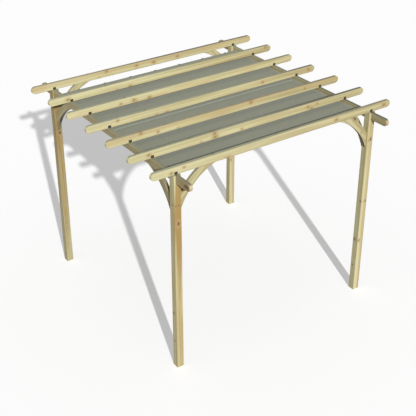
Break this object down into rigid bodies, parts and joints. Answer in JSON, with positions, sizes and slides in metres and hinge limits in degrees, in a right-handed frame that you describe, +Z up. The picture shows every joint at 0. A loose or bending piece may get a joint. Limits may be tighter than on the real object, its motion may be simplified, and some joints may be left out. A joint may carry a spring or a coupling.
{
  "type": "wooden pergola",
  "caption": "Open wooden pergola: square posts with forked heads, side beams, round-nosed rafters, curved corner braces and a flat fabric canopy hung under the rafters.",
  "frame": {"origin": "on the ground at the middle of the post layout", "axes": "+X to the right along the rafters, +Y to the back along the beams, +Z up"},
  "size_m": [3.5998, 3.5998, 2.8],
  "materials": {
    "pine": "planed pale yellow pine, pressure treated, with brown knots",
    "dark_wood": "very dark stained wood",
    "pole_metal": "plain round tube, satin",
    "canopy_fabric": "grey-green woven sheet"
  },
  "bodies": {
    "root": {"post_front_left": "pine", "post_front_right": "pine", "post_back_left": "pine", "post_back_right": "pine", "beam_left": "pine", "beam_right": "pine", "rafter_1": "pine", "rafter_2": "pine", "rafter_3": "pine", "rafter_4": "pine", "rafter_5": "pine", "rafter_6": "pine", "rafter_7": "pine", "rafter_brace_front_left": "pine", "rafter_brace_front_right": "pine", "rafter_brace_back_left": "pine", "rafter_brace_back_right": "pine", "beam_brace_front_left": "pine", "beam_brace_front_right": "pine", "beam_brace_back_left": "pine", "beam_brace_back_right": "pine", "rafter_seats_left": "dark_wood", "rafter_seats_right": "dark_wood", "canopy_pole_front": "pole_metal", "canopy_pole_middle": "pole_metal", "canopy_pole_back": "pole_metal", "canopy": "canopy_fabric"}
  },
  "joints": []
}
